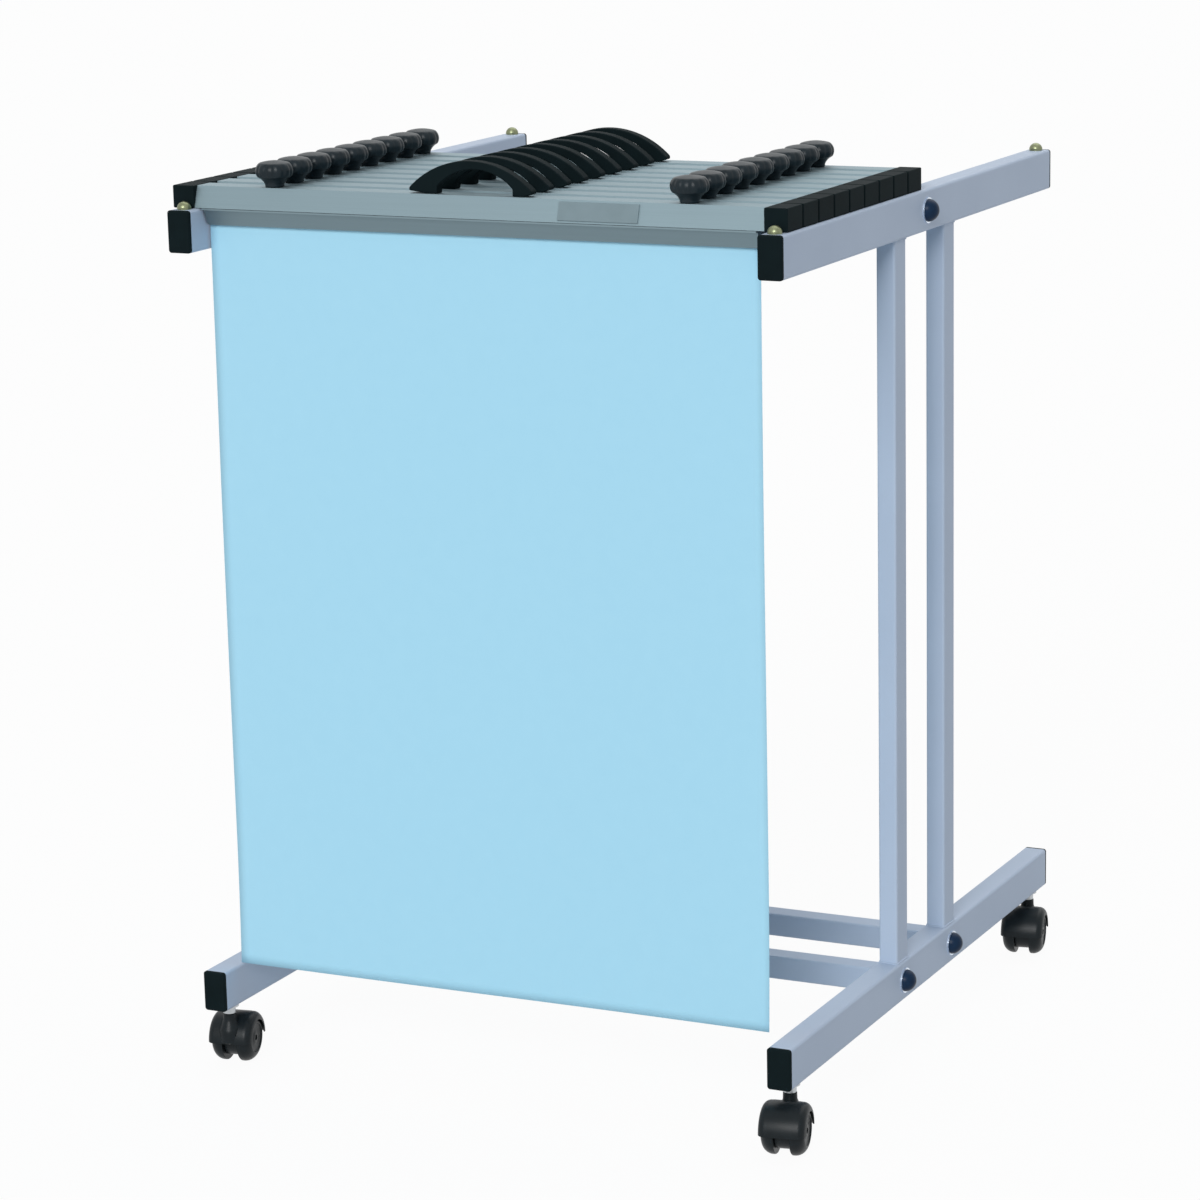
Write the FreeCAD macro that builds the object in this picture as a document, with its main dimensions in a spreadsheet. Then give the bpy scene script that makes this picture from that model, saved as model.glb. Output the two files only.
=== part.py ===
import FreeCAD, Part
import operator
import os

import Sketcher

# Plan hanging trolley: a welded tube frame on four twin-wheel castors carries nine hanging
# clamps that rest across its two top rails, and the first clamp grips one A1 sheet.
# Frame of reference: X runs across the trolley, the front is at -Y, Z is up, and the origin
# lies on the floor under the middle of the frame. All sizes are millimetres.

SIZES = [
    # the welded frame
    ("rack_height", 895, "floor to the top of the top rails"),
    ("rail_length", 738, "a rail with its two end caps"),
    ("rail_width", 25, "rail tube, across the trolley"),
    ("rail_height", 42, "rail tube, upright"),
    ("rail_corner", 3, "outer corner radius of a rail tube"),
    ("tube_wall", 1.5, "wall of every tube"),
    ("post_width", 20, "post tube, across the trolley"),
    ("post_depth", 30, "post tube, front to back"),
    ("post_corner", 2.5, "outer corner radius of posts and stretchers"),
    ("post_spacing", 135, "centre to centre of the two posts of a side"),
    ("stretcher_size", 25, "square stretcher tube"),
    # fasteners of the frame
    ("bolt_size", 8, "shank of the stretcher bolts"),
    ("bolt_hole_play", 0.2, "radial play of a bolt in its hole"),
    ("bolt_grip", 14, "bolt length inside the threaded insert"),
    ("bolt_head_size", 13, "across the bolt head"),
    ("bolt_head_height", 5.5, "height of the bolt head"),
    ("washer_size", 26, "outer diameter of the bright washer"),
    ("washer_thickness", 1.6, "thickness of the bright washer"),
    ("washer_rim", 1.5, "bright rim of the washer around its domed cap"),
    ("bolt_cap_height", 10.5, "height of the dome above its washer"),
    ("bolt_cap_play", 0.5, "play of the domed cap around the bolt head"),
    ("insert_length", 18, "threaded insert in the end of a stretcher"),
    ("insert_play", 0.1, "play of the insert in its tube, each side"),
    # rail end caps and clamp stops
    ("cap_flange", 4, "visible thickness of an end cap"),
    ("cap_plug_depth", 13, "plug of an end cap inside the tube"),
    ("cap_plug_wall", 2, "wall of the plug"),
    ("cap_plug_play", 0.15, "play of the plug in its tube, each side"),
    ("cap_bevel", 1.2, "bevelled front edge of an end cap"),
    ("stop_size", 14, "diameter of a clamp stop stud"),
    ("stop_height", 8, "height of a clamp stop stud"),
    ("stop_inset", 13, "clamp stop axis from the end of the rail"),
    ("stop_rim", 2.4, "upright rim of a clamp stop stud under its dome"),
    ("stop_shank", 6, "shank of a clamp stop stud"),
    # castors
    ("castor_inset", 28, "castor swivel axis from the end of the rail"),
    ("castor_headroom", 17, "top of the wheels to the underside of the base rails"),
    ("castor_trail", 18, "swivel axis to wheel axis, seen from above"),
    ("castor_width", 50, "across both wheels"),
    ("wheel_size", 50, "wheel diameter"),
    ("wheel_width", 17, "width of one wheel"),
    ("wheel_shoulder", 3, "start of the rounded shoulder from the outer face of a wheel"),
    ("wheel_face", 30, "diameter of the flat outer face of a wheel"),
    ("wheel_gap", 0.6, "running gap between a wheel and the housing, along the axle"),
    ("axle_size", 6, "axle diameter"),
    ("hood_gap", 0.9, "running gap between a wheel and the hood, along the radius"),
    ("hood_wall", 2.2, "wall of the hood"),
    ("hood_bevel", 1.5, "bevelled side edges of the hood"),
    ("web_size", 38, "diameter of the web between the wheels"),
    ("boss_size", 18, "diameter of the swivel boss at its top"),
    ("boss_flare", 32, "diameter of the swivel boss where it meets the hood"),
    ("boss_flare_height", 12, "height of the wide foot of the boss above the axle"),
    ("boss_neck", 3, "upright neck at the top of the boss"),
    ("stem_pin", 8, "stem diameter inside the housing"),
    ("stem_pin_depth", 14, "stem length inside the housing"),
    ("stem_neck", 13, "stem diameter between housing and rail"),
    ("stem_neck_length", 7.5, "top of the housing to the collar"),
    ("stem_collar", 20, "collar diameter under the rail"),
    ("stem_collar_height", 2.5, "collar height"),
    ("stem_thread", 10, "threaded stud of the stem, inside the rail"),
    ("stem_thread_length", 20, "threaded stud above the collar"),
    ("stem_nut_size", 17, "across the nut of the stem"),
    ("stem_nut_height", 8, "height of the nut of the stem"),
    ("shaft_play", 0.05, "radial play of a turning shaft in its bore"),
    ("swivel_gap", 0.4, "gap between the housing and the collar of the neck"),
    # clamps
    ("clamp_pitch", 38, "one clamp to the next along the rails"),
    ("stretcher_clearance", 1.5, "the jaws of a clamp to the top stretcher"),
    ("stop_clearance", 1, "a clamp stop to the end blocks of the first clamp"),
    ("clamp_shift", -4, "middle of the clamps from the middle of the frame"),
    ("clamp_overhang", 1, "a clamp past the outer face of each side frame, before its shift"),
    ("block_length", 24, "end block, along the clamp"),
    ("block_gap", 2, "between the end blocks of neighbouring clamps"),
    ("block_proud", 0.5, "end block above the top of the bar"),
    ("block_bevel", 2, "bevelled edges of an end block"),
    ("spigot_length", 12, "end block spigot inside the bar"),
    ("bar_height", 22, "top of the bar above the rails"),
    ("bar_lift", 0.6, "underside of the upper extrusion above the rails"),
    ("bar_foot", 17, "front foot of the bar from the middle of the clamp"),
    ("bar_brow", 10, "front top edge of the bar from the middle of the clamp"),
    ("bar_back", 16.5, "back of the bar from the middle of the clamp"),
    ("bar_back_top", 13, "back top edge of the bar from the middle of the clamp"),
    ("bar_back_height", 15, "height where the back of the bar starts to slope"),
    ("bar_wall", 1.6, "wall of the upper extrusion"),
    ("jaw_end_gap", 6, "jaw strips to the rail at each end, before the shift"),
    ("jaw_depth", 17, "jaw strips below the top of the rails"),
    ("jaw_face", 2, "gripping plane in front of the middle of the clamp"),
    ("jaw_lip", 4, "thickness of a jaw strip at its lower edge"),
    ("jaw_ledge", 1.6, "thickness of the ledge along the front jaw"),
    ("jaw_ledge_reach", 17.5, "front of the ledge from the middle of the clamp"),
    ("jaw_shoulder", 14, "front of the jaw under its ledge"),
    ("jaw_back", 12, "back of the rear jaw at its top"),
    ("jaw_slack", 0.4, "gap above the moving jaw"),
    ("jaw_clearance", 0.3, "gap between the sheet and the moving jaw"),
    # knobs
    ("knob_spacing", 447, "centre to centre of the two knobs of a clamp"),
    ("knob_side_gap", 0.6, "between the knobs of neighbouring clamps"),
    ("knob_neck", 18, "diameter of the neck of a knob"),
    ("knob_neck_height", 7, "neck of a knob above the bar"),
    ("knob_skirt", 3, "height of the taper under the rim"),
    ("knob_height", 24, "knob above the bar"),
    ("knob_rounding", 7, "rounded shoulder of a knob"),
    ("knob_gap", 0.3, "gap between a knob and the bar"),
    ("knob_screw", 6, "screw of a knob"),
    ("knob_screw_length", 16, "screw of a knob below the top of the bar"),
    ("knob_hole_play", 0.1, "radial play of a knob screw in the bar"),
    # handles
    ("handle_feet", 102, "centre to centre of the two feet of a handle"),
    ("handle_foot", 14, "one foot, along the clamp"),
    ("handle_length", 142, "tip to tip of a handle"),
    ("handle_rise", 31, "top of a handle above the bar"),
    ("handle_reach", 19, "finger gap under a handle, at its middle"),
    ("handle_tip", 2.5, "underside of a tip above the bar"),
    ("handle_tip_height", 4, "thickness of a tip"),
    ("handle_depth", 15, "handle, front to back"),
    ("handle_bevel", 3, "bevelled long edges of a handle"),
    # label holder and sheet
    ("label_length", 84, "label holder, along the clamp"),
    ("label_foot", 2.4, "foot of the label holder above the foot of the bar"),
    ("label_start", 93, "near end of the label holder from the middle of the clamp"),
    ("label_thickness", 1.4, "label holder, front to back"),
    ("label_drop", 2, "top of the label holder below the top of the bar"),
    ("sheet_width", 594, "the short side of an A1 sheet, which sets the width of the rack"),
    ("sheet_margin", 7, "room beside the sheet to each top rail, before its shift"),
    ("sheet_shift", -1, "middle of the sheet from the middle of the clamp"),
    ("sheet_grip", 14, "height of the sheet inside the jaws"),
    ("sheet_drop", 766, "free length of the sheet below the jaws"),
    ("sheet_thickness", 0.6, "the sheet as a closed solid"),
]
CLAMP_COUNT = 9
# The castors stand at rest as they were left: (name, side, end, direction of the trail).
CASTORS = [
    ("castor_front_left", -1, -1, 10),
    ("castor_front_right", 1, -1, 190),
    ("castor_rear_left", -1, 1, 10),
    ("castor_rear_right", 1, 1, 190),
]


class Size:
    """A size with its number and its spreadsheet expression, so that both stay together."""

    def __init__(self, value, text):
        self.value = value
        self.text = text

    def __add__(self, other):
        return combine(operator.add, "+", self, other)

    def __sub__(self, other):
        return combine(operator.sub, "-", self, other)

    def __mul__(self, other):
        return combine(operator.mul, "*", self, other)

    def __truediv__(self, other):
        return combine(operator.truediv, "/", self, other)

    def __radd__(self, other):
        return combine(operator.add, "+", other, self)

    def __rsub__(self, other):
        return combine(operator.sub, "-", other, self)

    def __rmul__(self, other):
        return combine(operator.mul, "*", other, self)

    def __neg__(self):
        return combine(operator.mul, "*", -1, self)


def as_size(number):
    return number if isinstance(number, Size) else Size(number, f"{number}")


def combine(work, sign, left, right):
    left = as_size(left)
    right = as_size(right)
    return Size(work(left.value, right.value), f"({left.text} {sign} {right.text})")


QUARTER_TURN = 0.7071  # sine of 45 degrees
HEX_CORNER = 1.1547  # a hexagon across its corners, for one across its flats
NEAR = 1e-4

doc = FreeCAD.newDocument("plan_hanging_rack")


def fill_sheet():
    """Write every driving size into the spreadsheet and return the sizes by name."""
    sheet = doc.addObject("Spreadsheet::Sheet", "Sizes")
    named = {}
    for row, (alias, number, meaning) in enumerate(SIZES, start=1):
        sheet.set(f"A{row}", alias)
        sheet.set(f"B{row}", f"{number}")
        sheet.set(f"C{row}", meaning)
        sheet.setAlias(f"B{row}", alias)
        named[alias] = Size(number, f"Sizes.{alias}")
    doc.recompute()
    return named


S = fill_sheet()


# ---------------------------------------------------------------- modelling helpers

def bind(target, path, size):
    """Drive a property of an object, or one number inside it, from the spreadsheet."""
    target.setExpression(path, as_size(size).text)


def move(target, x=0, y=0, z=0):
    """Bind the position of an object."""
    for axis, size in (("x", x), ("y", y), ("z", z)):
        bind(target, f"Placement.Base.{axis}", size)


def sketch_on(body, role, offset=0):
    """A sketch on one of the body's own origin planes, or parallel to it."""
    sketch = body.newObject("Sketcher::SketchObject", f"{body.Name}_sketch")
    plane = next(item for item in body.Origin.OriginFeatures if item.Role == role)
    sketch.AttachmentSupport = (plane, [""])
    sketch.MapMode = "FlatFace"
    bind(sketch, "AttachmentOffset.Base.z", offset)
    return sketch


def pin(sketch, geometry, point, x, y):
    """Fix one point of a sketch at bound coordinates."""
    for kind, size in (("DistanceX", x), ("DistanceY", y)):
        size = as_size(size)
        index = sketch.addConstraint(Sketcher.Constraint(kind, -1, 1, geometry, point, size.value))
        sketch.setExpression(f"Constraints[{index}]", size.text)


def vector(point):
    return FreeCAD.Vector(as_size(point[0]).value, as_size(point[1]).value, 0)


def outline(sketch, points, arcs=None, crowns=(), axis=0):
    """A closed outline through the points. arcs maps a point's number to the point that the
    arc from there to the next point passes through. crowns holds the numbers of the points
    that start a round crown, whose centre lies on the revolving axis: 0 upright, 1 level."""
    middles = dict(arcs or {})
    for number in crowns:
        middles[number] = near_crown(points[number], points[(number + 1) % len(points)], axis)
    edges = []
    for number, point in enumerate(points):
        start = vector(point)
        end = vector(points[(number + 1) % len(points)])
        if number in middles:
            edge = Part.Arc(start, vector(middles[number]), end)
        else:
            edge = Part.LineSegment(start, end)
        edges.append(sketch.addGeometry(edge))
    for number, edge in enumerate(edges):
        following = (number + 1) % len(edges)
        start = end_at(sketch, edge, points[number])
        joined = end_at(sketch, edges[following], points[following])
        sketch.addConstraint(Sketcher.Constraint("Coincident", edge, 3 - start, edges[following], joined))
        pin(sketch, edge, start, *points[number])
    for number, middle in middles.items():
        if number in crowns:
            kind = ("DistanceX", "DistanceY")[axis]
            sketch.addConstraint(Sketcher.Constraint(kind, -1, 1, edges[number], 3, 0))
        else:
            point = sketch.addGeometry(Part.Point(vector(middle)), True)
            pin(sketch, point, 1, *middle)
            sketch.addConstraint(Sketcher.Constraint("PointOnObject", point, 1, edges[number]))


def near_crown(start, end, axis):
    """A point near the middle of a crown; the crown's own constraints make it exact."""
    ends = [[as_size(number) for number in point] for point in (start, end)]
    rim, tip = sorted(ends, key=lambda point: -point[axis].value)
    middle = [rim[0], rim[1]]
    middle[axis] = rim[axis] * QUARTER_TURN
    middle[1 - axis] = rim[1 - axis] + (tip[1 - axis] - rim[1 - axis]) * QUARTER_TURN
    return middle


def end_at(sketch, edge, point):
    """1 or 2: the end of the edge that lies at the point, because arcs may be stored reversed."""
    return 1 if sketch.getPoint(edge, 1).distanceToPoint(vector(point)) < NEAR else 2


def rectangle(sketch, left, right, bottom, top):
    outline(sketch, [(left, bottom), (right, bottom), (right, top), (left, top)])


def circle(sketch, x, y, diameter):
    diameter = as_size(diameter)
    ring = sketch.addGeometry(Part.Circle(vector((x, y)), FreeCAD.Vector(0, 0, 1), diameter.value / 2))
    pin(sketch, ring, 3, x, y)
    index = sketch.addConstraint(Sketcher.Constraint("Diameter", ring, diameter.value))
    sketch.setExpression(f"Constraints[{index}]", diameter.text)


def feature(body, kind, sketch, **bound):
    """A PartDesign feature of the sketch with its lengths or angles bound."""
    item = body.newObject(f"PartDesign::{kind}", f"{body.Name}_{kind.lower()}")
    item.Profile = sketch
    for path, size in bound.items():
        bind(item, path, size)
    return item


def pad(body, sketch, length, midplane=True, reverse=False):
    item = feature(body, "Pad", sketch, Length=length)
    item.Midplane = midplane
    item.Reversed = reverse
    return item


def pocket(body, sketch, length, midplane=True, reverse=False):
    """Cut, and make sure that the cut takes something away."""
    doc.recompute()
    before = body.Shape.Volume
    item = feature(body, "Pocket", sketch, Length=length)
    item.Midplane = midplane
    item.Reversed = reverse
    doc.recompute()
    if body.Shape.Volume >= before:
        raise RuntimeError(f"{item.Name} cuts nothing")
    return item


def revolve(body, sketch, axis="V_Axis"):
    item = feature(body, "Revolution", sketch)
    item.ReferenceAxis = (sketch, [axis])
    item.Angle = 360
    return item


def soften(body, radius, test, kind="Fillet"):
    """Round or bevel the edges of the body's last feature that pass the test."""
    doc.recompute()
    base = body.Tip
    names = [f"Edge{i}" for i, edge in enumerate(base.Shape.Edges, start=1) if test(edge)]
    item = body.newObject(f"PartDesign::{kind}", f"{body.Name}_{kind.lower()}")
    item.Base = (base, names)
    bind(item, "Radius" if kind == "Fillet" else "Size", radius)
    return item


def runs_along(edge, axis):
    """True where a straight edge is parallel to an axis, 0 for X, 1 for Y and 2 for Z."""
    if edge.Curve.TypeId != "Part::GeomLine":
        return False
    return abs(abs(edge.Curve.Direction[axis]) - 1) < NEAR


def is_at(edge, axis, size):
    """True where the whole edge lies at one coordinate."""
    place = as_size(size).value
    box = edge.BoundBox
    low = (box.XMin, box.YMin, box.ZMin)[axis]
    high = (box.XMax, box.YMax, box.ZMax)[axis]
    return abs(low - place) < NEAR and abs(high - place) < NEAR


def new_body(name):
    return doc.addObject("PartDesign::Body", name)


def turned(angle):
    """A turn about the upright axis, in degrees."""
    return FreeCAD.Rotation(FreeCAD.Vector(0, 0, 1), angle)


def linked(source, name):
    """One more of the same piece, placed on its own."""
    link = doc.addObject("App::Link", name)
    link.LinkedObject = source
    return link


nodes = []


def node(name, pieces):
    """A named sub-part: one piece, or identical or joined pieces as separate solids."""
    if len(pieces) == 1 and pieces[0].TypeId == "PartDesign::Body":
        group = pieces[0]
    else:
        group = doc.addObject("Part::Compound", name)
        group.Links = pieces
    group.Label = name
    nodes.append(group)
    return group


# ---------------------------------------------------------------- the welded frame

tube_length = S["rail_length"] - 2 * S["cap_flange"]
rail_inside = S["sheet_width"] / 2 + S["sheet_margin"]
rail_middle = rail_inside + S["rail_width"] / 2
rail_outside = rail_inside + S["rail_width"]
top_middle = S["rack_height"] - S["rail_height"] / 2
castor_height = S["wheel_size"] + S["castor_headroom"]
base_top = castor_height + S["rail_height"]
base_middle = castor_height + S["rail_height"] / 2
bolt_hole = S["bolt_size"] + 2 * S["bolt_hole_play"]


def tube(body, role, width, height, length, corner):
    """A drawn tube about the middle of its own origin plane, with rounded corners."""
    axis = {"YZ_Plane": 0, "XZ_Plane": 1, "XY_Plane": 2}[role]
    sketch = sketch_on(body, role)
    rectangle(sketch, -width / 2, width / 2, -height / 2, height / 2)
    pad(body, sketch, length)
    soften(body, corner, lambda edge: runs_along(edge, axis))
    doc.recompute()
    inner = sketch_on(body, role)
    wall = S["tube_wall"]
    rectangle(inner, wall - width / 2, width / 2 - wall, wall - height / 2, height / 2 - wall)
    pocket(body, inner, length)


def cross_holes(body, places):
    """Bolt holes straight through a rail, from side to side."""
    sketch = sketch_on(body, "YZ_Plane")
    for y in places:
        circle(sketch, y, 0, bolt_hole)
    pocket(body, sketch, 2 * S["rail_width"])


def wall_holes(body, inset, diameter, top):
    """A hole near each end of a rail, through its top wall or its bottom wall only."""
    sketch = sketch_on(body, "XY_Plane")
    for end in (-1, 1):
        circle(sketch, 0, end * (S["rail_length"] / 2 - inset), diameter)
    pocket(body, sketch, S["rail_height"], midplane=False, reverse=top)


def top_rail(name):
    body = new_body(name)
    tube(body, "XZ_Plane", S["rail_width"], S["rail_height"], tube_length, S["rail_corner"])
    cross_holes(body, [as_size(0)])
    wall_holes(body, S["stop_inset"], S["stop_shank"], top=True)
    return body


def base_rail(name):
    body = new_body(name)
    tube(body, "XZ_Plane", S["rail_width"], S["rail_height"], tube_length, S["rail_corner"])
    cross_holes(body, [-S["post_spacing"] / 2, S["post_spacing"] / 2])
    wall_holes(body, S["castor_inset"], S["stem_thread"] + 2 * S["bolt_hole_play"], top=False)
    return body


for side, word in ((-1, "left"), (1, "right")):
    rail = top_rail(f"top_rail_{word}")
    move(rail, side * rail_middle, 0, top_middle)
    node(f"top_rail_{word}", [rail])
    rail = base_rail(f"base_rail_{word}")
    move(rail, side * rail_middle, 0, base_middle)
    node(f"base_rail_{word}", [rail])

# The posts stand face to face between base rail and top rail, where they are welded.
post = new_body("post")
post_length = S["rack_height"] - S["rail_height"] - base_top
tube(post, "XY_Plane", S["post_width"], S["post_depth"], post_length, S["post_corner"])
posts = []
for side in (-1, 1):
    for row in (-1, 1):
        piece = linked(post, "post_place")
        move(piece, side * rail_middle, row * S["post_spacing"] / 2, base_top + post_length / 2)
        posts.append(piece)
node("posts", posts)

# Stretchers join the side frames: one at the top, two at the bottom in line with the posts.
stretcher_places = [(as_size(0), top_middle)]
stretcher_places += [(row * S["post_spacing"] / 2, base_middle) for row in (-1, 1)]
stretcher = new_body("stretcher")
square = S["stretcher_size"]
tube(stretcher, "YZ_Plane", square, square, 2 * rail_inside, S["post_corner"])

# A threaded insert fills each stretcher end, and takes the bolt through the rail.
insert = new_body("insert")
insert_size = square - 2 * S["tube_wall"] - 2 * S["insert_play"]
sketch = sketch_on(insert, "YZ_Plane")
rectangle(sketch, -insert_size / 2, insert_size / 2, -insert_size / 2, insert_size / 2)
circle(sketch, 0, 0, S["bolt_size"] + 2 * S["insert_play"])
pad(insert, sketch, S["insert_length"], midplane=False, reverse=True)

# The bolt lies along X with its head outside; its washer and its domed cap sit over it.
bolt = new_body("bolt")
head_face = S["washer_thickness"]
shank_end = -(S["rail_width"] + S["bolt_grip"])
sketch = sketch_on(bolt, "XZ_Plane")
rectangle(sketch, shank_end, head_face, 0, S["bolt_size"] / 2)
revolve(bolt, sketch, "H_Axis")
sketch = sketch_on(bolt, "YZ_Plane", head_face)
half_head = S["bolt_head_size"] / 2
corner = half_head * HEX_CORNER
outline(sketch, [(half_head, corner / 2), (0, corner), (-half_head, corner / 2),
                 (-half_head, -corner / 2), (0, -corner), (half_head, -corner / 2)])
pad(bolt, sketch, S["bolt_head_height"], midplane=False)

washer = new_body("washer")
sketch = sketch_on(washer, "YZ_Plane")
circle(sketch, 0, 0, S["washer_size"])
circle(sketch, 0, 0, S["bolt_size"] + 2 * S["bolt_hole_play"])
pad(washer, sketch, S["washer_thickness"], midplane=False)

bolt_cap = new_body("bolt_cap")
cap_radius = S["washer_size"] / 2 - S["washer_rim"]
cap_inside = S["bolt_head_size"] / 2 * HEX_CORNER + S["bolt_cap_play"]
cap_top = head_face + S["bolt_cap_height"]
hollow_top = head_face + S["bolt_head_height"] + S["bolt_cap_play"]
sketch = sketch_on(bolt_cap, "XZ_Plane")
outline(sketch, [(head_face, cap_inside), (head_face, cap_radius), (cap_top, 0), (hollow_top, 0),
                 (hollow_top, cap_inside)], crowns=(1,), axis=1)
revolve(bolt_cap, sketch, "H_Axis")


def both_sides(source, name, places):
    """Copies at the outer face of each side frame, turned so that +X of the piece points out."""
    pieces = []
    for side in (-1, 1):
        for y, z in places:
            piece = linked(source, name)
            piece.Placement.Rotation = turned(0 if side > 0 else 180)
            move(piece, side * rail_outside, y, z)
            pieces.append(piece)
    return pieces


stretchers = []
for y, z in stretcher_places:
    piece = linked(stretcher, "stretcher_place")
    move(piece, 0, y, z)
    stretchers.append(piece)
node("stretchers", stretchers)

inserts = []
for side in (-1, 1):
    for y, z in stretcher_places:
        piece = linked(insert, "insert_place")
        piece.Placement.Rotation = turned(0 if side > 0 else 180)
        move(piece, side * rail_inside, y, z)
        inserts.append(piece)
node("stretcher_inserts", inserts)
node("frame_bolts", both_sides(bolt, "bolt_place", stretcher_places))
node("frame_washers", both_sides(washer, "washer_place", stretcher_places))
node("bolt_caps", both_sides(bolt_cap, "bolt_cap_place", stretcher_places))

# An end cap: a flange as large as the tube, and a hollow plug that grips inside it.
end_cap = new_body("end_cap")
width = S["rail_width"]
height = S["rail_height"]
sketch = sketch_on(end_cap, "XZ_Plane")
rectangle(sketch, -width / 2, width / 2, -height / 2, height / 2)
pad(end_cap, sketch, S["cap_flange"], midplane=False)
soften(end_cap, S["rail_corner"], lambda edge: runs_along(edge, 1))
soften(end_cap, S["cap_bevel"], lambda edge: is_at(edge, 1, -S["cap_flange"]), "Chamfer")
sketch = sketch_on(end_cap, "XZ_Plane")
plug_x = width / 2 - S["tube_wall"] - S["cap_plug_play"]
plug_z = height / 2 - S["tube_wall"] - S["cap_plug_play"]
rectangle(sketch, -plug_x, plug_x, -plug_z, plug_z)
wall = S["cap_plug_wall"]
rectangle(sketch, wall - plug_x, plug_x - wall, wall - plug_z, plug_z - wall)
pad(end_cap, sketch, S["cap_plug_depth"], midplane=False, reverse=True)

caps = []
for side in (-1, 1):
    for z in (top_middle, base_middle):
        for end in (-1, 1):
            piece = linked(end_cap, "end_cap_place")
            piece.Placement.Rotation = turned(0 if end < 0 else 180)
            move(piece, side * rail_middle, end * tube_length / 2, z)
            caps.append(piece)
node("rail_end_caps", caps)

# A clamp stop: a domed stud near each end of a top rail keeps the clamps from sliding off.
stop = new_body("stop")
sketch = sketch_on(stop, "XZ_Plane")
stop_radius = S["stop_size"] / 2
shank_radius = S["stop_shank"] / 2
outline(sketch,
        [(0, -S["tube_wall"]), (shank_radius, -S["tube_wall"]), (shank_radius, 0),
         (stop_radius, 0), (stop_radius, S["stop_rim"]), (0, S["stop_height"])], crowns=(4,))
revolve(stop, sketch)
stops = []
for side in (-1, 1):
    for end in (-1, 1):
        piece = linked(stop, "stop_place")
        move(piece, side * rail_middle, end * (S["rail_length"] / 2 - S["stop_inset"]), S["rack_height"])
        stops.append(piece)
node("clamp_stops", stops)

# ---------------------------------------------------------------- castors

wheel_radius = S["wheel_size"] / 2
web_half = S["castor_width"] / 2 - S["wheel_width"] - S["wheel_gap"]
hood_inside = wheel_radius + S["hood_gap"]
hood_radius = hood_inside + S["hood_wall"]
collar_foot = castor_height - S["stem_collar_height"]
boss_top = collar_foot - S["stem_neck_length"]
neck_foot = boss_top + S["swivel_gap"]

# The stem: a stud through the rail's underside with a collar, a neck and a swivel pin.
stem = new_body("stem")
pin_foot = boss_top - S["stem_pin_depth"]
stud_top = castor_height + S["stem_thread_length"]
sketch = sketch_on(stem, "XZ_Plane")
outline(sketch,
        [(0, pin_foot), (S["stem_pin"] / 2, pin_foot), (S["stem_pin"] / 2, neck_foot),
         (S["stem_neck"] / 2, neck_foot), (S["stem_neck"] / 2, collar_foot),
         (S["stem_collar"] / 2, collar_foot), (S["stem_collar"] / 2, castor_height),
         (S["stem_thread"] / 2, castor_height), (S["stem_thread"] / 2, stud_top),
         (0, stud_top)])
revolve(stem, sketch)
nut = new_body("stem_nut")
nut_foot = castor_height + S["tube_wall"]
half_nut = S["stem_nut_size"] / 2
nut_corner = half_nut * HEX_CORNER
sketch = sketch_on(nut, "XY_Plane", nut_foot)
outline(sketch, [(half_nut, nut_corner / 2), (0, nut_corner), (-half_nut, nut_corner / 2),
                 (-half_nut, -nut_corner / 2), (0, -nut_corner), (half_nut, -nut_corner / 2)])
circle(sketch, 0, 0, S["stem_thread"])
pad(nut, sketch, S["stem_nut_height"], midplane=False)


def castor_housing(name):
    """Hood over both wheels, web between them and swivel boss, with the trail along +Y."""
    body = new_body(name)
    axle_y = S["castor_trail"]
    axle_z = wheel_radius
    sketch = sketch_on(body, "YZ_Plane")
    circle(sketch, axle_y, axle_z, 2 * hood_radius)
    pad(body, sketch, S["castor_width"])
    soften(body, S["hood_bevel"], lambda edge: edge.Curve.TypeId == "Part::GeomCircle", "Chamfer")
    doc.recompute()
    sketch = sketch_on(body, "YZ_Plane")
    rectangle(sketch, axle_y - 2 * hood_radius, axle_y + 2 * hood_radius, -axle_z, axle_z)
    pocket(body, sketch, 2 * S["castor_width"])
    sketch = sketch_on(body, "XZ_Plane")
    outline(sketch,
            [(0, axle_z), (S["boss_flare"] / 2, axle_z), (S["boss_flare"] / 2, axle_z + S["boss_flare_height"]),
             (S["boss_size"] / 2, boss_top - S["boss_neck"]), (S["boss_size"] / 2, boss_top),
             (0, boss_top)])
    revolve(body, sketch)
    for side in (-1, 1):
        sketch = sketch_on(body, "YZ_Plane", side * web_half)
        circle(sketch, axle_y, axle_z, 2 * hood_inside)
        pocket(body, sketch, S["castor_width"], midplane=False, reverse=side > 0)
    sketch = sketch_on(body, "YZ_Plane")
    circle(sketch, axle_y, axle_z, S["web_size"])
    pad(body, sketch, 2 * web_half)
    sketch = sketch_on(body, "YZ_Plane")
    circle(sketch, axle_y, axle_z, S["axle_size"] + 2 * S["shaft_play"])
    pocket(body, sketch, S["castor_width"])
    sketch = sketch_on(body, "XY_Plane", boss_top)
    circle(sketch, 0, 0, S["stem_pin"] + 2 * S["shaft_play"])
    pocket(body, sketch, S["stem_pin_depth"] + S["swivel_gap"], midplane=False)
    return body


def castor_wheel():
    """One wheel about the X axis, seen from the middle of the castor outwards."""
    body = new_body("wheel")
    inside = web_half + S["wheel_gap"]
    outside = S["castor_width"] / 2
    sketch = sketch_on(body, "XY_Plane")
    outline(sketch,
            [(inside, S["axle_size"] / 2), (inside, wheel_radius),
             (outside - S["wheel_shoulder"], wheel_radius), (outside, S["wheel_face"] / 2),
             (outside, S["axle_size"] / 2)],
            {2: (outside - S["wheel_shoulder"] / 4, wheel_radius * 0.75 + S["wheel_face"] / 8)})
    revolve(body, sketch, "H_Axis")
    return body


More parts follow.
